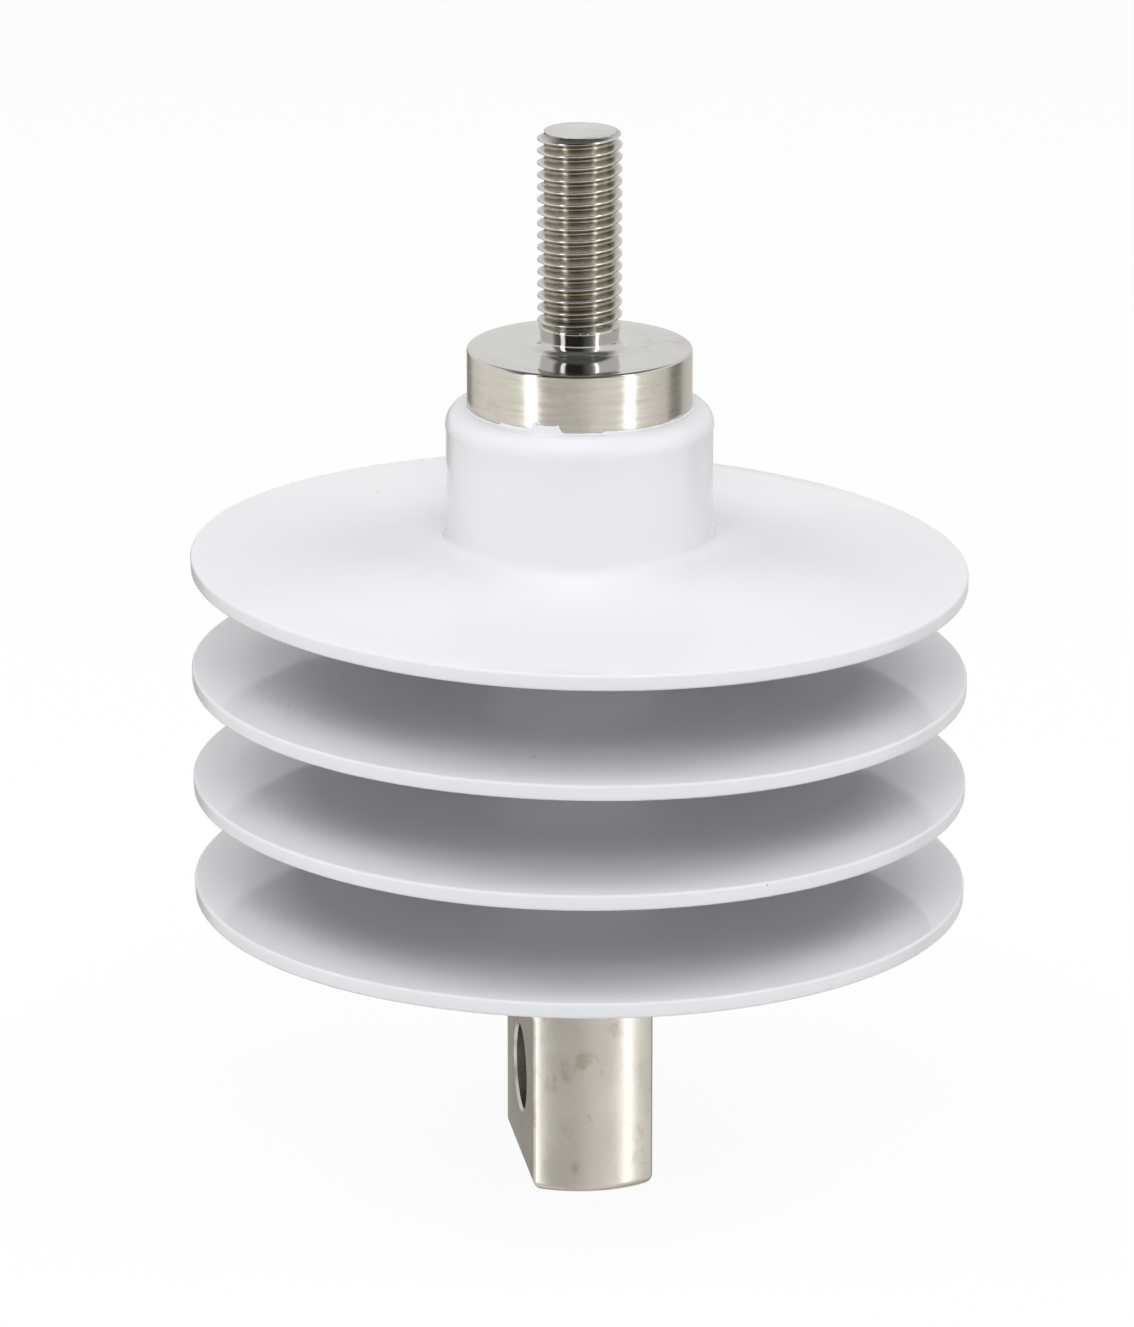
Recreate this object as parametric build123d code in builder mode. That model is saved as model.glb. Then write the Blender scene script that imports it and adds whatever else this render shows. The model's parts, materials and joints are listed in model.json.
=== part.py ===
from build123d import *
from math import cos, radians, sin, tan
import os

# A composite insulator. A glass-fibre core rod carries the pull between two turned steel
# fittings, and a one-piece silicone housing with sheds is moulded over the rod and over the
# buried ends of the fittings. +Z runs from the tongue's flat end, at z = 0, to the stud's
# end, and the tongue's pin hole runs along X. Sizes are in millimetres, angles in degrees.

# ---- sheds -------------------------------------------------------------------------------
shed_count = 4
shed_pitch = 15.8
shed_diameter = 111.0
shed_rim_thickness = 2.35
shed_top_slope = 5.1
shed_underside_slope = 1.0
shed_root_fillet = 1.6

# ---- housing between and beyond the sheds ------------------------------------------------
sheath_wall = 5.0  # rubber on the bare rod
collar_wall = 3.0  # rubber on a fitting
lower_collar_height = 11.0  # collar's lower end to the lowest rim's middle
upper_collar_height = 24.0  # highest rim's middle to the collar's upper end
collar_shoulder_radius = 2.7
fitting_end_cover = 2.8  # rubber over the buried end of a fitting, at its edge

# ---- core rod ----------------------------------------------------------------------------
rod_diameter = 16.0
socket_clearance = 0.05  # glue film round the rod, on the radius

# ---- both fittings -----------------------------------------------------------------------
fitting_diameter = 32.0
socket_mouth_chamfer = 0.8

# ---- tongue fitting ----------------------------------------------------------------------
tongue_length = 28.0
tongue_thickness = 17.4
tongue_end_radius = 1.6
tongue_edge_radius = 0.8
milling_radius = 2.5  # left by the cutter where the flats run out
pin_hole_diameter = 12.5
pin_hole_height = 14.2
pin_hole_chamfer = 0.4
shank_band = 3.5  # round metal between the flats and the rubber
tongue_socket_floor = 2.5  # metal between the flats and the rod's end

# ---- top fitting -------------------------------------------------------------------------
cap_height = 8.4  # metal that shows above the rubber
cap_edge_chamfer = 0.4
cap_socket_floor = 12.0  # metal between the cap's face and the rod's end
stud_diameter = 12.0
stud_thread_length = 28.0
stud_end_chamfer = 0.8
neck_diameter = 11.5
neck_height = 3.35
neck_fillet = 1.0

# ---- radii and heights that follow from these --------------------------------------------
shed_radius = shed_diameter / 2
rim_radius = shed_rim_thickness / 2
rod_radius = rod_diameter / 2
socket_radius = rod_radius + socket_clearance
fitting_radius = fitting_diameter / 2
sheath_radius = rod_radius + sheath_wall
collar_radius = fitting_radius + collar_wall

collar_bottom = tongue_length + shank_band
lowest_rim = collar_bottom + lower_collar_height
highest_rim = lowest_rim + (shed_count - 1) * shed_pitch
collar_top = highest_rim + upper_collar_height
cap_top = collar_top + cap_height
thread_start = cap_top + neck_height
stud_end = thread_start + stud_thread_length


def shed_top(radius, rim_height):
    """Height of a shed's upper face at a radius."""
    slope = radians(shed_top_slope)
    return rim_height + rim_radius / cos(slope) + (shed_radius - rim_radius - radius) * tan(slope)


def shed_underside(radius, rim_height):
    """Height of a shed's lower face at a radius."""
    slope = radians(shed_underside_slope)
    return rim_height - rim_radius / cos(slope) + (shed_radius - rim_radius - radius) * tan(slope)


tongue_fitting_end = shed_top(fitting_radius, lowest_rim) - fitting_end_cover
top_fitting_end = shed_underside(fitting_radius, highest_rim) + fitting_end_cover
rod_bottom = tongue_length + tongue_socket_floor
rod_top = cap_top - cap_socket_floor
wall_tolerance = 0.01


# ---- core rod: plain pultruded bar, bottomed in both sockets -----------------------------
with BuildPart() as core_rod:
    with BuildSketch(Plane.XY.offset(rod_bottom)):
        Circle(rod_radius)
    extrude(amount=rod_top - rod_bottom)

# ---- tongue fitting: turned bar, milled to two flats and cross drilled -------------------
with BuildPart() as tongue_fitting:
    with BuildSketch():
        Circle(fitting_radius)
    extrude(amount=tongue_fitting_end)

    flat_depth = fitting_radius - tongue_thickness / 2
    with BuildSketch(Plane.XZ) as milled_sides:
        with Locations((fitting_radius, 0)):
            Rectangle(flat_depth, tongue_length, align=(Align.MAX, Align.MIN))
        run_out = milled_sides.vertices().sort_by(Axis.Y)[-2:].sort_by(Axis.X)[0]
        fillet(run_out, milling_radius)
        mirror(about=Plane.YZ)
    extrude(amount=fitting_radius, both=True, mode=Mode.SUBTRACT)

    tongue_corners = tongue_fitting.edges().filter_by(Axis.Z).filter_by(
        lambda edge: edge.center().Z < tongue_length
    )
    fillet(tongue_corners, tongue_edge_radius)
    fillet(tongue_fitting.faces().sort_by(Axis.Z)[0].edges(), tongue_end_radius)

    hole_face = Plane(origin=(tongue_thickness / 2, 0, pin_hole_height), z_dir=(1, 0, 0))
    with Locations(hole_face):
        Hole(pin_hole_diameter / 2, depth=tongue_thickness)
    hole_mouths = tongue_fitting.edges().filter_by(GeomType.CIRCLE).filter_by(
        lambda edge: abs(edge.radius - pin_hole_diameter / 2) < wall_tolerance
    )
    chamfer(hole_mouths, pin_hole_chamfer)

    with BuildSketch(Plane.XY.offset(tongue_fitting_end)):
        Circle(socket_radius)
    extrude(amount=rod_bottom - tongue_fitting_end, mode=Mode.SUBTRACT)
    socket_mouth = tongue_fitting.faces().sort_by(Axis.Z)[-1].inner_wires()[0]
    chamfer(socket_mouth.edges(), socket_mouth_chamfer)

# ---- top fitting: cap, neck and stud turned from one bar, with the rod's socket ----------
with BuildPart() as top_fitting:
    with BuildSketch(Plane.XZ) as turned_profile:
        with BuildLine():
            Polyline(
                (0, rod_top),
                (socket_radius, rod_top),
                (socket_radius, top_fitting_end),
                (fitting_radius, top_fitting_end),
                (fitting_radius, cap_top),
                (neck_diameter / 2, cap_top),
                (neck_diameter / 2, thread_start),
                (stud_diameter / 2, thread_start + (stud_diameter - neck_diameter) / 2),
                (stud_diameter / 2, stud_end),
                (0, stud_end),
                close=True,
            )
        make_face()
        corners = turned_profile.vertices()
        neck_root = corners.sort_by_distance((neck_diameter / 2, cap_top))[0]
        cap_edge = corners.sort_by_distance((fitting_radius, cap_top))[0]
        stud_edge = corners.sort_by_distance((stud_diameter / 2, stud_end))[0]
        mouth_edge = corners.sort_by_distance((socket_radius, top_fitting_end))[0]
        fillet(neck_root, neck_fillet)
        chamfer(cap_edge, cap_edge_chamfer)
        chamfer(stud_edge, stud_end_chamfer)
        chamfer(mouth_edge, socket_mouth_chamfer)
    revolve(axis=Axis.Z)

# ---- housing: sheath, collars and sheds in one moulding ----------------------------------
with BuildPart() as housing:
    with BuildSketch(Plane.XZ) as housing_profile:
        # The collars give way to the sheath inside the end sheds' roots.
        with BuildLine():
            Polyline(
                (0, collar_bottom),
                (collar_radius, collar_bottom),
                (collar_radius, lowest_rim),
                (sheath_radius, lowest_rim),
                (sheath_radius, highest_rim),
                (collar_radius, highest_rim),
                (collar_radius, collar_top),
                (0, collar_top),
                close=True,
            )
        make_face()
        for shed in range(shed_count):
            rim_height = lowest_rim + shed * shed_pitch
            with BuildLine():
                rim = CenterArc(
                    (shed_radius - rim_radius, rim_height),
                    rim_radius,
                    -90 - shed_underside_slope,
                    180 + shed_underside_slope - shed_top_slope,
                )
                Polyline(
                    rim @ 1,
                    (rod_radius, shed_top(rod_radius, rim_height)),
                    (rod_radius, shed_underside(rod_radius, rim_height)),
                    rim @ 0,
                )
            make_face()

        root_corners = housing_profile.vertices().filter_by(
            lambda corner: sheath_radius - wall_tolerance < corner.X < collar_radius + wall_tolerance
            and collar_bottom + wall_tolerance < corner.Y < collar_top - wall_tolerance
        )
        fillet(root_corners, shed_root_fillet)
        collar_shoulders = housing_profile.vertices().filter_by(
            lambda corner: abs(corner.X - collar_radius) < wall_tolerance
            and min(abs(corner.Y - collar_bottom), abs(corner.Y - collar_top)) < wall_tolerance
        )
        fillet(collar_shoulders, collar_shoulder_radius)

        # The moulding takes the shape of the rod and of the fittings' buried ends.
        with BuildLine():
            Polyline(
                (0, collar_bottom),
                (fitting_radius, collar_bottom),
                (fitting_radius, tongue_fitting_end),
                (rod_radius, tongue_fitting_end),
                (rod_radius, top_fitting_end),
                (fitting_radius, top_fitting_end),
                (fitting_radius, collar_top),
                (0, collar_top),
                close=True,
            )
        make_face(mode=Mode.SUBTRACT)
    revolve(axis=Axis.Z)


sub_parts = {
    "core_rod": core_rod,
    "tongue_fitting": tongue_fitting,
    "top_fitting": top_fitting,
    "housing": housing,
}
os.makedirs("parts", exist_ok=True)
for label, sub_part in sub_parts.items():
    sub_part.part.label = label
    export_step(sub_part.part, f"parts/{label}.step")
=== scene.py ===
"""Composite insulator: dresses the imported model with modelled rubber, thread and steel finishes."""

import json
from math import ceil, cos, pi, radians, sin, sqrt, tan

import bmesh
import bpy
from bpy.props import FloatProperty, FloatVectorProperty, IntProperty, PointerProperty
from bpy.types import Operator, Panel, PropertyGroup
from mathutils import Matrix, Vector, noise


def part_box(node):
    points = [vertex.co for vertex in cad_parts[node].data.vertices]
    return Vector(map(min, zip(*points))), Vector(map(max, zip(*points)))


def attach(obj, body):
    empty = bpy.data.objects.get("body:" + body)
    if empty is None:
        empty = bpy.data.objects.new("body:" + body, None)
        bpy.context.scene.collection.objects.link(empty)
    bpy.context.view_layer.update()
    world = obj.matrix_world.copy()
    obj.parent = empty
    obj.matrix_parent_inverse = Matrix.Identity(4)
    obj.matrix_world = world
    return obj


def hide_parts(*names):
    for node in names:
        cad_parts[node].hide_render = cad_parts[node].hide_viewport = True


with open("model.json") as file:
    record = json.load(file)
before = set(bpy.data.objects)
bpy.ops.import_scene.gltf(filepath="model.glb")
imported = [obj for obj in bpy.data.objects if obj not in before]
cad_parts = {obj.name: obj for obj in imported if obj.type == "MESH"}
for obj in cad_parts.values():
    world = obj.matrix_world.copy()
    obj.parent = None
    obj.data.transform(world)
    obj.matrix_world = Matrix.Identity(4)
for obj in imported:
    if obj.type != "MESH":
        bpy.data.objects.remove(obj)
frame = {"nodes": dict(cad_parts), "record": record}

bl_info = {
    "name": "Composite insulator",
    "version": (1, 0, 0),
    "blender": (4, 5, 0),
    "location": "3D View > Sidebar > Insulator",
    "description": "Builds the rubber housing, threaded cap, tongue and core rod of an insulator",
    "category": "Object",
}

MM = 0.001
BODY = "root"
MERGE_DISTANCE = 1e-6
MOUNTS = {mount["name"]: mount for mount in frame["record"]["mounts"]}


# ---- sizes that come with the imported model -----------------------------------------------
housing_low, housing_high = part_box("housing")
cap_low, cap_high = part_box("top_fitting")
rod_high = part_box("core_rod")[1]
SHED_RADIUS = housing_high.x
COLLAR_BOTTOM = housing_low.z
COLLAR_TOP = housing_high.z
FITTING_RADIUS = cap_high.x
TOP_FITTING_END = cap_low.z
STUD_END = cap_high.z
TONGUE_FITTING_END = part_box("tongue_fitting")[1].z
ROD_RADIUS = rod_high.x
ROD_TOP = rod_high.z
CAP_TOP = MOUNTS["cap_face"]["pos_m"][2]
STUD_RADIUS = MOUNTS["stud"]["dims"]["r_mm"] * MM


def length(name, description, default):
    """A length property in metres."""
    return FloatProperty(
        name=name, description=description, default=default, unit="LENGTH", precision=5
    )


def angle(name, description, degrees):
    """An angle property, whose default is given in degrees."""
    return FloatProperty(
        name=name, description=description, default=radians(degrees), subtype="ANGLE"
    )


def colour(name, description, default):
    """A linear colour property."""
    return FloatVectorProperty(
        name=name, description=description, default=default, size=3, min=0, max=1, subtype="COLOR"
    )


class HousingSettings(PropertyGroup):
    """Sizes and finish of the rubber housing."""

    shed_count: IntProperty(name="Sheds", description="Number of sheds", default=4, min=2)
    shed_pitch: length("Shed pitch", "Height from one shed to the next", 15.8 * MM)
    rim_thickness: length("Rim thickness", "Thickness of a shed at its rim", 2.35 * MM)
    rim_rounding: length("Rim rounding", "Radius of a rim's two edges", 0.45 * MM)
    top_slope: angle("Top slope", "Fall of a shed's upper face", 5.1)
    underside_slope: angle("Underside slope", "Rise of a shed's lower face", 1)
    root_fillet: length("Root fillet", "Radius where a shed meets the wall", 1.6 * MM)
    sheath_wall: length("Sheath wall", "Rubber on the bare rod", 5 * MM)
    collar_wall: length("Collar wall", "Rubber on a fitting", 3 * MM)
    lower_collar_height: length("Lower collar", "Collar's end to the lowest rim", 11 * MM)
    shoulder_radius: length("Shoulder", "Rounding of a collar's edge", 2.7 * MM)
    shoulder_bead: length("Shoulder bead", "Faint ridge below the upper shoulder", 0.12 * MM)
    flash_thickness: length("Flash thickness", "Film that laps up the cap", 0.22 * MM)
    flash_height: length("Flash height", "Usual height of that film", 0.2 * MM)
    rubber: colour("Rubber", "Colour of the silicone", (0.78, 0.78, 0.81))
    speck: colour("Speck", "Colour of the dust in the silicone", (0.12, 0.11, 0.10))


class FittingSettings(PropertyGroup):
    """Sizes and finish of the steel fittings and the rod."""

    thread_pitch: length("Thread pitch", "Rise of the thread in one turn", 1.75 * MM)
    thread_depth: length("Thread depth", "Height of the thread's ridge", 1.0 * MM)
    thread_length: length("Thread length", "Length of the threaded stretch", 28 * MM)
    thread_turn: angle("Thread turn", "How far the thread is turned", -146)
    stud_rounding: length("Stud rounding", "Worn edge of the stud's end", 0.9 * MM)
    neck_radius: length("Neck radius", "Radius of the plain neck", 5.75 * MM)
    neck_taper: length("Neck taper", "How much thinner the neck is at the cap", 0.3 * MM)
    neck_fillet: length("Neck fillet", "Radius where the neck meets the cap", 1.5 * MM)
    cap_edge: length("Cap edge", "Bevel of the cap's upper edge", 0.4 * MM)
    steel: colour("Steel", "Colour of clean turned steel", (0.61, 0.60, 0.575))
    grime: colour("Grime", "Colour in the thread's grooves", (0.20, 0.17, 0.11))
    stain: colour("Stain", "Colour of the faint brown stains", (0.33, 0.28, 0.22))
    glass_fibre: colour("Glass fibre", "Colour of the core rod", (0.62, 0.56, 0.30))


class StageSettings(PropertyGroup):
    """Camera and light."""

    camera_azimuth: angle("Azimuth", "Turn of the camera about the insulator", -8.5)
    camera_elevation: angle("Elevation", "Height of the camera as an angle", 17.43)
    camera_distance: length("Distance", "Camera to the middle of the view", 1.0973)
    camera_aim_height: length("Aim height", "Height in the middle of the view", 75.3 * MM)
    camera_offset: length("Offset", "How far the view's middle is to the left", 1.79 * MM)
    lens: FloatProperty(name="Lens", description="Focal length", default=207.7, unit="CAMERA")
    light: FloatProperty(name="Light", description="Strength of all the lamps together", default=1)
    fill: FloatProperty(name="Fill", description="Light from all round", default=0.03)


# ---- helpers -----------------------------------------------------------------------------
def draw_outline(mesh, corners, closed=False):
    """Joins corners (radius, height, rounding) by a wire in the XZ plane and rounds them."""
    verts = [mesh.verts.new((radius, 0, height)) for radius, height, _ in corners]
    pairs = list(zip(verts, verts[1:] + verts[:1]))
    for start, end in pairs if closed else pairs[:-1]:
        mesh.edges.new((start, end))
    for vert, (_, _, rounding) in zip(verts, corners):
        if rounding:
            round_corner(mesh, vert, rounding)


def round_corner(mesh, vert, radius, segments=7):
    """Turns a corner of a wire into an arc of a radius."""
    arms = [edge.other_vert(vert).co - vert.co for edge in vert.link_edges]
    offset = radius / tan(arms[0].angle(arms[1]) / 2)
    bmesh.ops.bevel(
        mesh, geom=[vert], offset=offset, offset_type="OFFSET", segments=segments,
        profile=0.5, affect="VERTICES", material=-1,
    )


def subdivide_long(mesh, longest):
    """Cuts the wire's long edges so that a face between two rings is no longer than a limit."""
    for edge in [edge for edge in mesh.edges if edge.calc_length() > longest]:
        cuts = ceil(edge.calc_length() / longest) - 1
        bmesh.ops.subdivide_edges(mesh, edges=[edge], cuts=cuts)


def spin_round(mesh, steps):
    """Turns the wire once about the axis."""
    bmesh.ops.spin(
        mesh, geom=mesh.verts[:] + mesh.edges[:], cent=(0, 0, 0), axis=(0, 0, 1),
        dvec=(0, 0, 0), angle=2 * pi, steps=steps, use_merge=True,
    )
    bmesh.ops.remove_doubles(mesh, verts=mesh.verts, dist=MERGE_DISTANCE)


def finish_piece(mesh, name, material, replaced, sharp_angle=radians(40)):
    """Makes a piece of a mesh, smooth apart from its sharp edges, that stands for a CAD node."""
    bmesh.ops.recalc_face_normals(mesh, faces=mesh.faces)
    for edge in mesh.edges:
        edge.smooth = len(edge.link_faces) != 2 or edge.calc_face_angle() < sharp_angle
    for face in mesh.faces:
        face.smooth = True
    data = bpy.data.meshes.new(name)
    mesh.to_mesh(data)
    mesh.free()
    data.materials.append(material)
    piece = bpy.data.objects.new(name, data)
    bpy.context.scene.collection.objects.link(piece)
    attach(piece, BODY)
    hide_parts(replaced)
    return piece


def smooth_step(value, low, high):
    """0 below low, 1 above high, and a soft rise between them."""
    part = min(max((value - low) / (high - low), 0), 1)
    return part * part * (3 - 2 * part)


class Nodes:
    """A short way to write a node tree."""

    def __init__(self, owner):
        owner.use_nodes = True
        self.tree = owner.node_tree
        self.tree.nodes.clear()

    def add(self, kind, inputs=None, **settings):
        """Adds a node and sets its properties and sockets. A socket given an output is linked."""
        node = self.tree.nodes.new(kind)
        for name, value in settings.items():
            setattr(node, name, value)
        for name, value in (inputs or {}).items():
            socket = node.inputs[name]
            if isinstance(value, bpy.types.NodeSocket):
                self.tree.links.new(value, socket)
            else:
                socket.default_value = value
        return node

    def maths(self, operation, *values):
        """The output of a Math node."""
        return self.add("ShaderNodeMath", dict(enumerate(values)), operation=operation).outputs[0]

    def vector(self, operation, first, second=None, output="Vector"):
        """An output of a Vector Math node."""
        inputs = {0: first} if second is None else {0: first, 1: second}
        return self.add("ShaderNodeVectorMath", inputs, operation=operation).outputs[output]

    def spread(self, value, low, high, start=0.3, end=0.7):
        """Maps start..end, which is where most noise lies, to low..high."""
        inputs = {"Value": value, "From Min": start, "From Max": end, "To Min": low, "To Max": high}
        return self.add("ShaderNodeMapRange", inputs).outputs["Result"]

    def ramp(self, value, stops):
        """A ColorRamp's output. stops are (position, grey or colour)."""
        node = self.add("ShaderNodeValToRGB", {"Fac": value})
        while len(node.color_ramp.elements) < len(stops):
            node.color_ramp.elements.new(0.5)
        for element, (position, shade) in zip(node.color_ramp.elements, stops):
            tone = (shade, shade, shade) if isinstance(shade, (int, float)) else shade
            element.position = position
            element.color = (*tone, 1)
        return node.outputs["Color"]

    def blend(self, amount, first, second):
        """Mixes two colours."""
        node = self.add("ShaderNodeMix", data_type="RGBA")
        # The node has sockets for every kind of data: 0 is its factor, and 6 and 7 are its colours.
        for index, value in ((0, amount), (6, first), (7, second)):
            socket = node.inputs[index]
            if isinstance(value, bpy.types.NodeSocket):
                self.tree.links.new(value, socket)
            else:
                socket.default_value = value if isinstance(value, float) else (*value, 1)
        return node.outputs[2]

    def place(self, scale=(1, 1, 1)):
        """Object coordinates, stretched."""
        coordinates = self.add("ShaderNodeTexCoord").outputs["Object"]
        return self.add("ShaderNodeMapping", {"Vector": coordinates, "Scale": scale}).outputs[0]

    def noise(self, vector, scale, detail=3.0, roughness=0.5):
        """A noise texture's value."""
        inputs = {"Vector": vector, "Scale": scale, "Detail": detail, "Roughness": roughness}
        return self.add("ShaderNodeTexNoise", inputs).outputs["Fac"]

    def bump(self, height, strength, distance, normal=None):
        """A bump's normal."""
        inputs = {"Height": height, "Strength": strength, "Distance": distance}
        if normal is not None:
            inputs["Normal"] = normal
        return self.add("ShaderNodeBump", inputs).outputs["Normal"]

    def principled(self, inputs):
        """Gives the material a Principled shader. Keys are its sockets' names."""
        shader = self.add("ShaderNodeBsdfPrincipled", inputs)
        self.add("ShaderNodeOutputMaterial", {"Surface": shader.outputs[0]})


# ---- materials ---------------------------------------------------------------------------
# The middle of the water stains on the cap's upper face, and how far from it they end and are full.
STAIN_SPOT = (11 * MM, 1 * MM, CAP_TOP)
STAIN_REACH = (7 * MM, 3 * MM)
# The most that grime covers a groove, and the depth under the crests at which it ends.
GRIME_MOST = 0.85
GRIME_DEPTH = 0.1 * MM
# Dust in the rubber: cells a metre, a speck's radius as a share of its cell, and the share of cells
# without a speck.
SPECK_SCALE = 160.0
SPECK_SIZE = 0.028
SPECK_FREE = 0.80


def shaded(tone, share):
    """A colour darkened to a share of itself."""
    return [value * share for value in tone]


def make_silicone(settings):
    """Smooth moulded white rubber with a faint waviness and a few specks of dust."""
    material = bpy.data.materials.new("silicone_rubber")
    nodes = Nodes(material)
    place = nodes.place()
    cloud = nodes.noise(place, scale=60.0, detail=4.0)
    shade = nodes.ramp(cloud, [(0.3, shaded(settings.rubber, 0.975)), (0.7, settings.rubber)])
    cells = nodes.add("ShaderNodeTexVoronoi", {"Vector": place, "Scale": SPECK_SCALE})
    near = nodes.maths("LESS_THAN", cells.outputs["Distance"], SPECK_SIZE)
    chosen = nodes.add("ShaderNodeSeparateColor", {"Color": cells.outputs["Color"]}).outputs[0]
    dusty = nodes.maths("MULTIPLY", near, nodes.maths("GREATER_THAN", chosen, SPECK_FREE))
    waviness = nodes.noise(place, scale=180.0, detail=2.0)
    grain = nodes.noise(place, scale=2500.0, detail=2.0)
    wave = nodes.bump(waviness, strength=0.25, distance=0.06 * MM)
    nodes.principled({
        "Base Color": nodes.blend(nodes.maths("MULTIPLY", dusty, 0.7), shade, settings.speck),
        "Roughness": nodes.spread(nodes.noise(place, scale=90.0), 0.05, 0.09),
        "Normal": nodes.bump(grain, strength=0.15, distance=0.012 * MM, normal=wave),
        "IOR": 1.41,
    })
    return material


def around_axis(nodes, place):
    """A vector round the axis at each point, as long as the point is far from the axis."""
    return nodes.vector("CROSS_PRODUCT", (0, 0, 1), place)


def make_turned_steel(settings):
    """Lathe-turned stainless: fine rings, a few scratches along them, and faint brown stains."""
    material = bpy.data.materials.new("turned_steel")
    nodes = Nodes(material)
    place = nodes.place()
    rings = nodes.noise(nodes.place((30, 30, 2600)), scale=1.0)
    streaks = nodes.noise(nodes.place((120, 120, 1500)), scale=1.0, detail=4.0)
    blotch = nodes.noise(place, scale=170.0, detail=5.0, roughness=0.6)
    stain = nodes.ramp(blotch, [(0.56, 0.0), (0.72, 1.0)])
    clean = nodes.ramp(streaks, [(0.35, shaded(settings.steel, 0.93)), (0.6, settings.steel)])
    nodes.principled({
        "Base Color": nodes.blend(nodes.maths("MULTIPLY", stain, 0.25), clean, settings.stain),
        "Metallic": 1.0,
        "Roughness": nodes.spread(streaks, 0.14, 0.21),
        "Normal": nodes.bump(rings, strength=0.12, distance=0.02 * MM),
        "Anisotropic": 0.6,
        "Tangent": nodes.vector("NORMALIZE", around_axis(nodes, place)),
    })
    return material


def make_polished_steel(settings):
    """Bright turned face and neck, with brown water stains in a few places."""
    material = bpy.data.materials.new("polished_steel")
    nodes = Nodes(material)
    place = nodes.place()
    blotch = nodes.noise(place, scale=230.0, detail=4.0, roughness=0.55)
    away = nodes.vector("DISTANCE", place, STAIN_SPOT, output="Value")
    where = nodes.spread(away, 0, 1, *STAIN_REACH)
    ripple = nodes.noise(place, scale=350.0, detail=2.0)
    stain = nodes.maths("MULTIPLY", nodes.ramp(blotch, [(0.50, 0.0), (0.62, 1.0)]), where)
    clean = nodes.ramp(blotch, [(0.3, shaded(settings.steel, 0.94)), (0.7, settings.steel)])
    nodes.principled({
        "Base Color": nodes.blend(nodes.maths("MULTIPLY", stain, 0.4), clean, settings.stain),
        "Metallic": 1.0,
        "Roughness": nodes.spread(blotch, 0.07, 0.12),
        "Normal": nodes.bump(ripple, strength=0.1, distance=0.02 * MM),
    })
    return material


def make_thread_steel(settings):
    """Bright crests over grooves that hold a brown film."""
    material = bpy.data.materials.new("thread_steel")
    nodes = Nodes(material)
    place = nodes.place()
    reach = nodes.vector("LENGTH", around_axis(nodes, place), output="Value")
    root_radius = STUD_RADIUS - settings.thread_depth
    depth = nodes.spread(reach, GRIME_MOST, 0, root_radius, STUD_RADIUS - GRIME_DEPTH)
    patches = nodes.noise(place, scale=400.0, detail=4.0)
    film = nodes.maths("MULTIPLY", depth, nodes.spread(patches, 0.6, 1))
    grain = nodes.noise(place, scale=1500.0)
    nodes.principled({
        "Base Color": nodes.blend(film, settings.steel, settings.grime),
        "Metallic": 1.0,
        "Roughness": 0.2,
        "Normal": nodes.bump(grain, strength=0.3, distance=0.02 * MM),
    })
    return material


def make_satin_steel(settings):
    """Satin bar of the tongue, with soft mottling and small brown spots."""
    material = bpy.data.materials.new("satin_steel")
    nodes = Nodes(material)
    place = nodes.place()
    mottle = nodes.noise(place, scale=110.0, detail=5.0, roughness=0.6)
    clean = nodes.ramp(mottle, [(0.35, shaded(settings.steel, 0.88)), (0.65, settings.steel)])
    speckle = nodes.noise(nodes.place((1, 1, 0.7)), scale=260.0, detail=6.0, roughness=0.65)
    spots = nodes.ramp(speckle, [(0.56, 0.0), (0.68, 1.0)])
    grain = nodes.noise(place, scale=900.0)
    nodes.principled({
        "Base Color": nodes.blend(nodes.maths("MULTIPLY", spots, 0.5), clean, settings.stain),
        "Metallic": 1.0,
        "Roughness": nodes.spread(mottle, 0.24, 0.34),
        "Normal": nodes.bump(grain, strength=0.2, distance=0.02 * MM),
    })
    return material


def make_glass_fibre(settings):
    """Pultruded rod: fine fibres along the axis in amber resin."""
    material = bpy.data.materials.new("glass_fibre_rod")
    nodes = Nodes(material)
    fibres = nodes.noise(nodes.place((900, 900, 12)), scale=1.0, detail=4.0)
    resin = settings.glass_fibre
    nodes.principled({
        "Base Color": nodes.ramp(fibres, [(0.35, shaded(resin, 0.7)), (0.65, resin)]),
        "Roughness": 0.35,
        "Normal": nodes.bump(fibres, strength=0.3, distance=0.03 * MM),
    })
    return material


# ---- housing -----------------------------------------------------------------------------
HOUSING_STEPS = 300
HOUSING_LONGEST_FACE = 4 * MM
# Heights under the shoulder where the faint ridge starts and where it is widest.
BEAD_START = 0.9 * MM
BEAD_MIDDLE = 0.3 * MM
# How far each shed leans down towards the camera's right, from the lowest shed up.
SHED_LEANS = (radians(0.5), radians(0.5), radians(1.0), radians(1.5))
# The share of a shed's lean that comes as a soft bend. The rest grows evenly from its root.
SOFT_BEND = 0.35
# Height of the wave round a shed's rim, its scale, and the step that gives each shed its own wave.
RIM_WAVE = 0.35 * MM
RIM_WAVE_SCALE = 18
RIM_WAVE_STEP = 0.05
# Scales of the flash's coarse and fine raggedness round the axis.
FLASH_COARSE = 14
FLASH_FINE = 45
# Patches of flash on the cap: middle and half width round the axis, and height.
FLASH_PATCHES = (
    (radians(-115.5), radians(7.5), 0.95 * MM),
    (radians(-132), radians(11), 0.35 * MM),
    (radians(-78), radians(9), 0.15 * MM),
    (radians(75), radians(22), 0.6 * MM),
    (radians(165), radians(12), 0.4 * MM),
)


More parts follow.
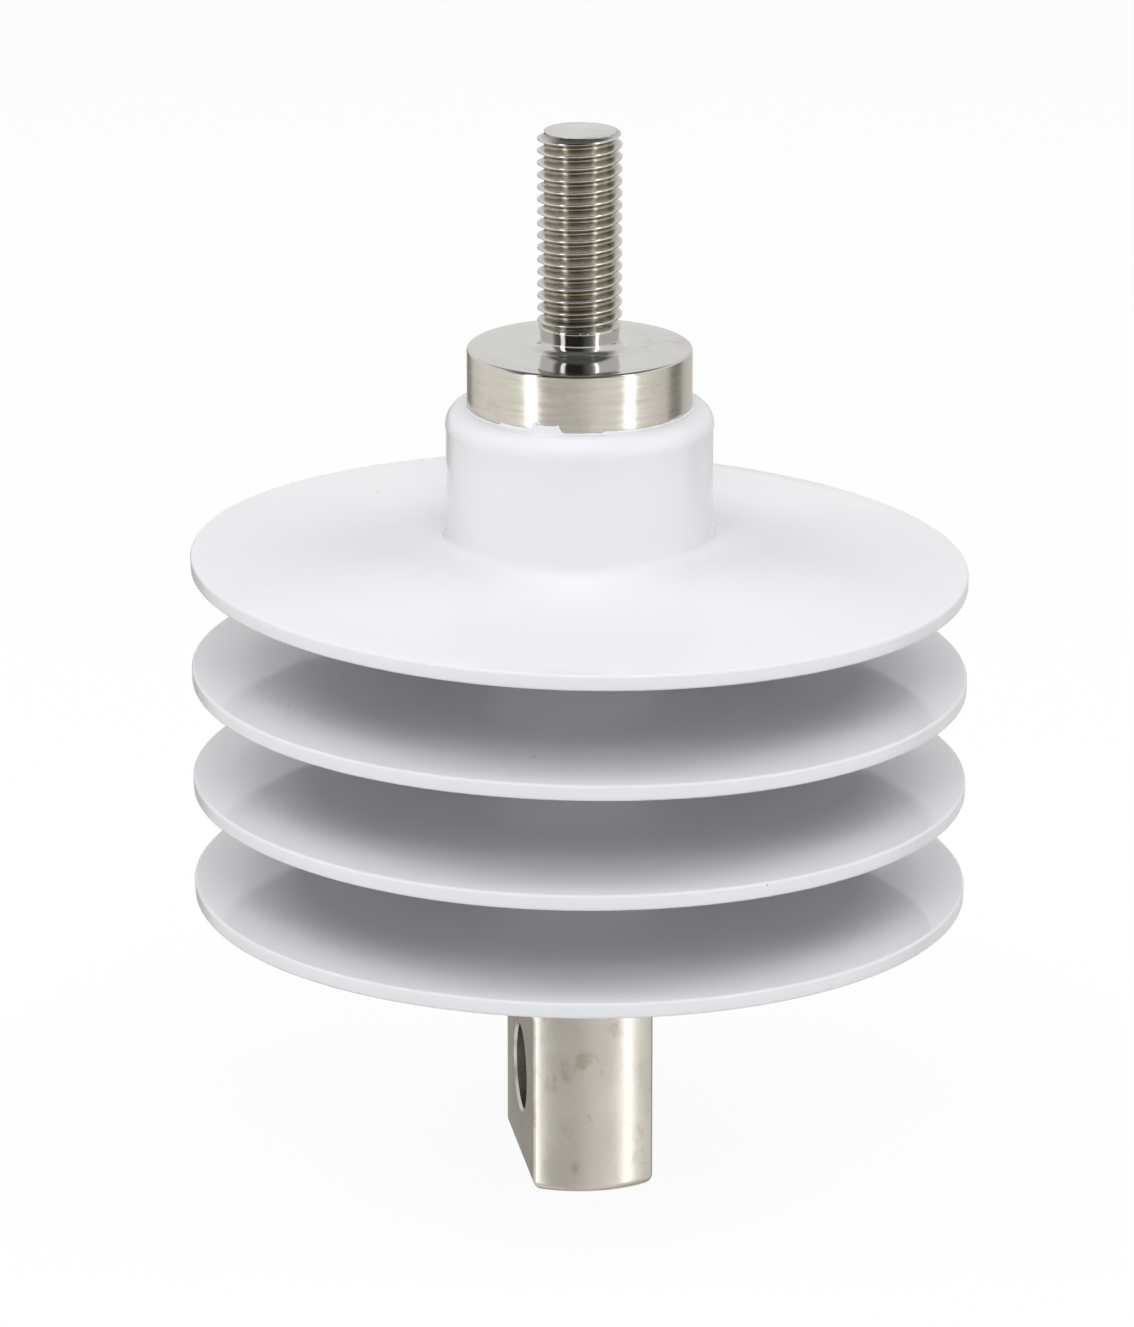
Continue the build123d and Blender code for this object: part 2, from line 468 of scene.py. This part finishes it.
def housing_corners(settings):
    """The moulding's section, from the lower collar's end up the outside and down the inside."""
    rim_half = settings.rim_thickness / 2
    lowest_rim = COLLAR_BOTTOM + settings.lower_collar_height
    sheath_radius = ROD_RADIUS + settings.sheath_wall
    collar_radius = FITTING_RADIUS + settings.collar_wall
    corners = [
        (FITTING_RADIUS, COLLAR_BOTTOM, 0),
        (collar_radius, COLLAR_BOTTOM, settings.shoulder_radius),
    ]
    for shed in range(settings.shed_count):
        rim = lowest_rim + shed * settings.shed_pitch
        below = collar_radius if shed == 0 else sheath_radius
        above = collar_radius if shed == settings.shed_count - 1 else sheath_radius
        rise = tan(settings.top_slope)
        fall = tan(settings.underside_slope)
        rim_top = rim + rim_half / cos(settings.top_slope) - rim_half * rise
        rim_bottom = rim - rim_half / cos(settings.underside_slope) - rim_half * fall
        corners += [
            (below, rim_bottom + (SHED_RADIUS - below) * fall, settings.root_fillet),
            (SHED_RADIUS, rim_bottom, settings.rim_rounding),
            (SHED_RADIUS, rim_top, settings.rim_rounding),
            (above, rim_top + (SHED_RADIUS - above) * rise, settings.root_fillet),
        ]
    film = settings.flash_thickness
    shoulder_foot = COLLAR_TOP - settings.shoulder_radius
    corners += [
        (collar_radius, shoulder_foot - BEAD_START, 0),
        (collar_radius + settings.shoulder_bead, shoulder_foot - BEAD_MIDDLE, 0),
        (collar_radius, COLLAR_TOP, settings.shoulder_radius),
        (FITTING_RADIUS + film, COLLAR_TOP, 0),
        (FITTING_RADIUS + 0.6 * film, COLLAR_TOP + settings.flash_height, 0),
        (FITTING_RADIUS, COLLAR_TOP + settings.flash_height, 0),
        (FITTING_RADIUS, TOP_FITTING_END, 0),
        (ROD_RADIUS, TOP_FITTING_END, 0),
        (ROD_RADIUS, TONGUE_FITTING_END, 0),
        (FITTING_RADIUS, TONGUE_FITTING_END, 0),
    ]
    return corners


def flash_reach(turn, settings):
    """Height of the film on the cap at an angle: a ragged edge with a few tall patches."""
    ragged = noise.noise(Vector((cos(turn), sin(turn), 0)) * FLASH_COARSE) * 0.5 + 0.5
    fine = noise.noise(Vector((cos(turn), sin(turn), 3)) * FLASH_FINE) * 0.5 + 0.5
    height = settings.flash_height * (0.3 + 0.9 * ragged)
    for middle, half_width, tall in FLASH_PATCHES:
        away = abs((turn - middle + pi) % (2 * pi) - pi)
        height += tall * (1 - smooth_step(away, half_width * 0.85, half_width * 1.1))
    return height * (0.75 + 0.5 * fine)


def lean_sheds(mesh, settings, side):
    """Bends each shed down towards one side, as soft sheds sag, with a faint wave round its rim."""
    lowest_rim = COLLAR_BOTTOM + settings.lower_collar_height
    root = FITTING_RADIUS + settings.collar_wall + settings.root_fillet
    for vert in mesh.verts:
        reach = vert.co.xy.length
        if reach <= root:
            continue
        shed = round((vert.co.z - lowest_rim) / settings.shed_pitch)
        if not 0 <= shed < settings.shed_count:
            continue
        share = (reach - root) / (SHED_RADIUS - root)
        outward = smooth_step(reach, root, SHED_RADIUS) * SOFT_BEND + share * (1 - SOFT_BEND)
        spot = Vector((vert.co.x, vert.co.y, shed * RIM_WAVE_STEP))
        wave = noise.noise(spot * RIM_WAVE_SCALE) * RIM_WAVE
        lean = tan(SHED_LEANS[shed % len(SHED_LEANS)])
        vert.co.z += outward * (wave - lean * vert.co.xy.dot(side))


class INSULATOR_OT_housing(Operator):
    """Model the rubber housing with its sheds, collars and flash"""

    bl_idname = "insulator.housing"
    bl_label = "Housing"

    def execute(self, context):
        settings = context.scene.insulator_housing
        mesh = bmesh.new()
        draw_outline(mesh, housing_corners(settings), closed=True)
        subdivide_long(mesh, HOUSING_LONGEST_FACE)
        spin_round(mesh, HOUSING_STEPS)
        film_base = COLLAR_TOP + settings.flash_height * 0.5
        for vert in mesh.verts:
            if vert.co.z > film_base:
                turn = -Vector((1, 0)).angle_signed(vert.co.xy)
                vert.co.z = COLLAR_TOP + flash_reach(turn, settings)
        azimuth = context.scene.insulator_stage.camera_azimuth
        lean_sheds(mesh, settings, Vector((cos(azimuth), sin(azimuth))))
        finish_piece(mesh, "rubber_housing", make_silicone(settings), "housing")
        return {"FINISHED"}


# ---- top fitting -------------------------------------------------------------------------
CAP_STEPS = 144
CAP_LONGEST_FACE = 3 * MM
THREAD_STEPS = 72
THREAD_MERGE = 2e-6
# Shares of the pitch that the crest and the root take, and their corners' radii.
CREST_SHARE = 0.13
ROOT_SHARE = 0.25
CREST_ROUNDING = 0.12 * MM
ROOT_ROUNDING = 0.25 * MM
# Only the flanks' edges are longer than this once the corners are round.
FLANK_LEAST = 0.4 * MM
# How fast the groove gets deeper from the neck up, and the plain band under the thread.
RUN_OUT_SLOPE = 1.2
NECK_BAND = 0.3 * MM
# The cap's materials, and the least that a face on the stud's flat end points up.
TURNED, POLISHED, THREADED = range(3)
FACES_UP = 0.99


def add_thread(mesh, settings, start, end):
    """A helical ridge between two heights, open at both ends."""
    pitch = settings.thread_pitch
    root_radius = STUD_RADIUS - settings.thread_depth
    # The helix starts about two turns early, and is cut off at both ends.
    first = start - (2 + settings.thread_turn / (2 * pi)) * pitch
    flank = (1 - CREST_SHARE - ROOT_SHARE) / 2
    rise = ROOT_SHARE / 2 + flank
    shape = [
        (root_radius, 0), (root_radius, ROOT_SHARE / 2), (STUD_RADIUS, rise),
        (STUD_RADIUS, rise + CREST_SHARE), (root_radius, 1 - ROOT_SHARE / 2), (root_radius, 1),
    ]
    verts = [mesh.verts.new((radius, 0, first + share * pitch)) for radius, share in shape]
    for pair in zip(verts, verts[1:]):
        mesh.edges.new(pair)
    roundings = (ROOT_ROUNDING, CREST_ROUNDING, CREST_ROUNDING, ROOT_ROUNDING)
    for corner, rounding in zip(verts[1:5], roundings):
        round_corner(mesh, corner, rounding, 3)
    flanks = [edge for edge in mesh.edges if edge.calc_length() > FLANK_LEAST]
    bmesh.ops.subdivide_edges(mesh, edges=flanks, cuts=3)
    turns = ceil((end - first) / pitch) + 2
    bmesh.ops.spin(
        mesh, geom=mesh.verts[:] + mesh.edges[:], cent=(0, 0, 0), axis=(0, 0, 1),
        dvec=(0, 0, pitch / THREAD_STEPS), angle=2 * pi * turns, steps=THREAD_STEPS * turns,
    )
    bmesh.ops.remove_doubles(mesh, verts=mesh.verts, dist=THREAD_MERGE)
    for height, side in ((start, -1), (end, 1)):
        cut = bmesh.ops.bisect_plane(
            mesh, geom=mesh.verts[:] + mesh.edges[:] + mesh.faces[:], dist=MERGE_DISTANCE,
            plane_co=(0, 0, height), plane_no=(0, 0, side), clear_outer=True,
        )["geom_cut"]
        for vert in cut:
            if isinstance(vert, bmesh.types.BMVert):
                vert.co.z = height


def trim_thread(mesh, settings, start, end):
    """Runs the groove out into the neck and rounds the ridge off at the stud's end."""
    rounding = settings.stud_rounding
    for vert in mesh.verts:
        radius = vert.co.xy.length
        from_start = vert.co.z - start
        low = settings.neck_radius - from_start * RUN_OUT_SLOPE
        high = min(STUD_RADIUS, settings.neck_radius + from_start)
        into_end = max(0, vert.co.z - (end - rounding))
        high = min(high, STUD_RADIUS - rounding + sqrt(max(0, rounding**2 - into_end**2)))
        wanted = min(max(radius, low), high)
        vert.co.xy *= wanted / radius


def open_ring(mesh, height):
    """The open edges at a height."""
    def is_level(vert):
        return abs(vert.co.z - height) < 2 * MERGE_DISTANCE

    return [edge for edge in mesh.edges if edge.is_boundary and all(map(is_level, edge.verts))]


class INSULATOR_OT_top_fitting(Operator):
    """Model the cap with its neck and threaded stud"""

    bl_idname = "insulator.top_fitting"
    bl_label = "Top fitting"

    def execute(self, context):
        settings = context.scene.insulator_fittings
        thread_start = STUD_END - settings.thread_length
        mesh = bmesh.new()
        add_thread(mesh, settings, thread_start, STUD_END)
        trim_thread(mesh, settings, thread_start, STUD_END)
        body = bmesh.new()
        draw_outline(body, [
            (0, ROD_TOP, 0),
            (ROD_RADIUS, ROD_TOP, 0),
            (ROD_RADIUS, TOP_FITTING_END, 0),
            (FITTING_RADIUS, TOP_FITTING_END, 0),
            (FITTING_RADIUS, CAP_TOP, settings.cap_edge),
            (settings.neck_radius - settings.neck_taper, CAP_TOP, settings.neck_fillet),
            (settings.neck_radius, thread_start - NECK_BAND, 0),
        ])
        subdivide_long(body, CAP_LONGEST_FACE)
        spin_round(body, CAP_STEPS)
        body_data = bpy.data.meshes.new("body")
        body.to_mesh(body_data)
        body.free()
        mesh.from_mesh(body_data)
        bpy.data.meshes.remove(body_data)
        neck_end = open_ring(mesh, thread_start - NECK_BAND)
        bmesh.ops.bridge_loops(mesh, edges=neck_end + open_ring(mesh, thread_start))
        bmesh.ops.contextual_create(mesh, geom=open_ring(mesh, STUD_END))
        piece = finish_piece(
            mesh, "threaded_cap", make_turned_steel(settings), "top_fitting",
            sharp_angle=radians(50),
        )
        piece.data.materials.append(make_polished_steel(settings))
        piece.data.materials.append(make_thread_steel(settings))
        for face in piece.data.polygons:
            if face.center.z > thread_start:
                face.material_index = THREADED if face.normal.z < FACES_UP else TURNED
            elif face.center.z > CAP_TOP - settings.cap_edge:
                face.material_index = POLISHED
        return {"FINISHED"}


# ---- tongue and rod ----------------------------------------------------------------------
# Faces of the tongue that turn less than this from their neighbours become one.
FLAT_ANGLE = radians(0.2)


class INSULATOR_OT_tongue(Operator):
    """Smooth the tongue fitting and give it its satin finish"""

    bl_idname = "insulator.tongue"
    bl_label = "Tongue fitting"

    def execute(self, context):
        mesh = bmesh.new()
        mesh.from_mesh(frame["nodes"]["tongue_fitting"].data)
        bmesh.ops.remove_doubles(mesh, verts=mesh.verts, dist=MERGE_DISTANCE)
        bmesh.ops.dissolve_limit(
            mesh, angle_limit=FLAT_ANGLE, verts=mesh.verts, edges=mesh.edges, delimit={"NORMAL"}
        )
        material = make_satin_steel(context.scene.insulator_fittings)
        finish_piece(mesh, "flat_tongue", material, "tongue_fitting")
        return {"FINISHED"}


class INSULATOR_OT_core_rod(Operator):
    """Give the core rod its glass fibre finish"""

    bl_idname = "insulator.core_rod"
    bl_label = "Core rod"

    def execute(self, context):
        material = make_glass_fibre(context.scene.insulator_fittings)
        for slot in frame["nodes"]["core_rod"].material_slots:
            slot.material = material
        return {"FINISHED"}


# ---- stage -------------------------------------------------------------------------------
FLOOR_REACH = 3
# The floor's colour in the light that it bounces, and the share of plain white that the eye sees.
FLOOR_BOUNCE = 0.6
FLOOR_WHITE = 0.94
# The room that gloss mirrors has a dark front, turned this far from the camera. The stops of its
# table and walls go from the middle of that front, 0, round both sides to the back, 1.
ROOM_FRONT = radians(-20)
TABLE_TINT = Vector((1, 0.955, 0.87))
TABLE_STOPS = (
    (0.0, 0.70), (0.10, 0.72), (0.22, 1.0), (0.50, 1.0),
    (0.67, 0.80), (0.71, 0.30), (0.79, 0.30), (0.85, 0.74),
)
WALL_STOPS = ((0.14, 0.03), (0.30, 0.25), (0.38, 1.0), (0.60, 0.95), (0.80, 0.92))
# Heights where the table gives way to the walls, and the walls to a grey ceiling.
HORIZON = (-0.03, 0.06)
CEILING_STOPS = ((0.55, 0.0), (0.80, 1.0))
CEILING = (0.16, 0.16, 0.15)
METAL_PIECES = ("threaded_cap", "flat_tongue")
# Each lamp's turn from the camera and height in degrees, its distance, width and height in metres,
# its watts, and what it lights: matte surfaces, or the metal's gloss alone.
LAMPS = {
    "key": (0, 50, 1.2, 0.6, 0.5, 3.6, "matte"),
    "key_low": (0, 38, 1.2, 0.8, 0.35, 1.6, "matte"),
    "high_front": (0, 70, 1.2, 0.8, 0.6, 2.0, "matte"),
    "side_left": (-90, 52, 1.1, 0.8, 0.6, 5.4, "matte"),
    "side_right": (90, 52, 1.1, 0.8, 0.6, 5.1, "matte"),
    "back": (180, 45, 1.1, 0.8, 0.8, 1.1, "matte"),
    "low_front": (0, 0, 1.0, 1.4, 0.08, 3.7, "matte"),
    "under_front": (0, -12, 1.0, 1.4, 0.2, 0.8, "matte"),
    "low_left": (-90, 0, 1.0, 1.0, 0.08, 1.6, "matte"),
    "low_right": (90, 0, 1.0, 1.0, 0.08, 1.5, "matte"),
    "strip_left": (-50, 0, 0.9, 0.20, 1.6, 1.9, "metal"),
    "strip_right": (52, 0, 0.9, 0.15, 1.6, 1.7, "metal"),
}


def toward(azimuth, elevation):
    """Unit vector from the insulator. Azimuth 0 is the side of -Y, and it grows towards +X."""
    return Vector((sin(azimuth) * cos(elevation), -cos(azimuth) * cos(elevation), sin(elevation)))


def facing(place, back):
    """The matrix that puts a lamp or a camera at a place, with its back towards a direction."""
    return Matrix.Translation(place) @ back.to_track_quat("Z", "Y").to_matrix().to_4x4()


def make_floor_material():
    """Pale grey to the light it bounces, and white to the eye outside the shadow."""
    material = bpy.data.materials.new("stage_floor")
    nodes = Nodes(material)
    rays = nodes.add("ShaderNodeLightPath").outputs
    seen = nodes.maths("MAXIMUM", rays["Is Camera Ray"], rays["Is Glossy Ray"])
    seen = nodes.maths("MAXIMUM", seen, rays["Is Transmission Ray"])
    shade = nodes.blend(seen, (FLOOR_BOUNCE, FLOOR_BOUNCE, FLOOR_BOUNCE), (1.0, 1.0, 1.0))
    plain = nodes.add("ShaderNodeBsdfDiffuse", {"Color": shade}).outputs[0]
    white = nodes.add("ShaderNodeEmission", {"Color": (1, 1, 1, 1), "Strength": 1.0}).outputs[0]
    amount = nodes.maths("MULTIPLY", seen, FLOOR_WHITE)
    shader = nodes.add("ShaderNodeMixShader", {0: amount, 1: plain, 2: white}).outputs[0]
    nodes.add("ShaderNodeOutputMaterial", {"Surface": shader})
    return material


def make_world(scene, settings):
    """White to the eye, a soft fill of grey, and in gloss a room with bright sides."""
    scene.world = bpy.data.worlds.new("studio")
    nodes = Nodes(scene.world)
    rays = nodes.add("ShaderNodeLightPath").outputs
    direction = nodes.add("ShaderNodeTexCoord").outputs["Generated"]
    front = toward(settings.camera_azimuth + ROOM_FRONT, 0)
    side = Vector((-front.y, front.x, 0))
    ahead = nodes.vector("DOT_PRODUCT", direction, front, "Value")
    across = nodes.vector("DOT_PRODUCT", direction, side, "Value")
    around = nodes.maths("ABSOLUTE", nodes.maths("ARCTAN2", across, ahead))
    turn = nodes.maths("DIVIDE", around, pi)
    table = nodes.ramp(turn, [(stop, TABLE_TINT * value) for stop, value in TABLE_STOPS])
    walls = nodes.ramp(turn, WALL_STOPS)
    height = nodes.add("ShaderNodeSeparateXYZ", {0: direction}).outputs[2]
    room = nodes.blend(nodes.spread(height, 0, 1, *HORIZON), table, walls)
    room = nodes.blend(nodes.ramp(height, CEILING_STOPS), room, CEILING)
    glossy = nodes.maths("MAXIMUM", rays["Is Glossy Ray"], rays["Is Transmission Ray"])
    shade = nodes.blend(glossy, (settings.fill, settings.fill, settings.fill), room)
    shade = nodes.blend(rays["Is Camera Ray"], shade, (1.0, 1.0, 1.0))
    background = nodes.add("ShaderNodeBackground", {"Color": shade, "Strength": 1.0})
    nodes.add("ShaderNodeOutputWorld", {"Surface": background.outputs[0]})


def add_floor(scene):
    """A plain floor under the insulator, which its gloss doesn't mirror."""
    mesh = bmesh.new()
    bmesh.ops.create_grid(mesh, x_segments=1, y_segments=1, size=FLOOR_REACH)
    data = bpy.data.meshes.new("floor")
    mesh.to_mesh(data)
    mesh.free()
    data.materials.append(make_floor_material())
    floor = bpy.data.objects.new("floor", data)
    floor.visible_glossy = False
    scene.collection.objects.link(floor)


def add_lamps(scene, settings, aim):
    """Rectangular lamps round the insulator. Those for the metal light only its pieces."""
    metal = bpy.data.collections.new("metal")
    for name in METAL_PIECES:
        metal.objects.link(bpy.data.objects[name])
    for name, (turn, elevation, distance, width, height, power, sight) in LAMPS.items():
        data = bpy.data.lights.new(name, "AREA")
        data.shape = "RECTANGLE"
        data.size = width
        data.size_y = height
        data.energy = power * settings.light
        direction = toward(settings.camera_azimuth + radians(turn), radians(elevation))
        lamp = bpy.data.objects.new(name, data)
        lamp.matrix_world = facing(aim + direction * distance, direction)
        lamp.visible_glossy = sight == "metal"
        lamp.visible_diffuse = sight == "matte"
        if sight == "metal":
            lamp.light_linking.receiver_collection = metal
        scene.collection.objects.link(lamp)


def add_camera(scene, settings, aim):
    """The camera, which looks at a point a little beside the insulator's axis."""
    azimuth = settings.camera_azimuth
    data = bpy.data.cameras.new("camera")
    data.lens = settings.lens
    camera = bpy.data.objects.new("camera", data)
    back = toward(azimuth, settings.camera_elevation)
    left = Vector((-cos(azimuth), -sin(azimuth), 0))
    place = aim + left * settings.camera_offset + back * settings.camera_distance
    camera.matrix_world = facing(place, back)
    scene.collection.objects.link(camera)
    scene.camera = camera


class INSULATOR_OT_stage(Operator):
    """Set the floor, the lamps and the camera"""

    bl_idname = "insulator.stage"
    bl_label = "Stage"

    def execute(self, context):
        scene = context.scene
        settings = scene.insulator_stage
        aim = Vector((0, 0, settings.camera_aim_height))
        add_floor(scene)
        add_lamps(scene, settings, aim)
        add_camera(scene, settings, aim)
        make_world(scene, settings)
        scene.view_settings.view_transform = "Standard"
        return {"FINISHED"}


class INSULATOR_PT_panel(Panel):
    """Lists the insulator's pieces and their settings"""

    bl_label = "Composite insulator"
    bl_idname = "INSULATOR_PT_panel"
    bl_space_type = "VIEW_3D"
    bl_region_type = "UI"
    bl_category = "Insulator"

    def draw(self, context):
        for operator in OPERATORS:
            self.layout.operator(operator.bl_idname)
        for name in SETTINGS:
            box = self.layout.box()
            group = getattr(context.scene, name)
            for key in group.__annotations__:
                box.prop(group, key)


SETTINGS = {
    "insulator_housing": HousingSettings,
    "insulator_fittings": FittingSettings,
    "insulator_stage": StageSettings,
}
OPERATORS = (
    INSULATOR_OT_housing,
    INSULATOR_OT_top_fitting,
    INSULATOR_OT_tongue,
    INSULATOR_OT_core_rod,
    INSULATOR_OT_stage,
)


def register():
    """Adds the classes, and the settings to the scene."""
    for entry in (*SETTINGS.values(), *OPERATORS, INSULATOR_PT_panel):
        bpy.utils.register_class(entry)
    for name, group in SETTINGS.items():
        setattr(bpy.types.Scene, name, PointerProperty(type=group))


def unregister():
    """Takes them away again."""
    for name in SETTINGS:
        delattr(bpy.types.Scene, name)
    for entry in (INSULATOR_PT_panel, *OPERATORS, *SETTINGS.values()):
        bpy.utils.unregister_class(entry)


def main():
    """Builds every piece and the stage."""
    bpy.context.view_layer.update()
    register()
    bpy.ops.insulator.housing()
    bpy.ops.insulator.top_fitting()
    bpy.ops.insulator.tongue()
    bpy.ops.insulator.core_rod()
    bpy.ops.insulator.stage()


if __name__ == "__main__":
    main()
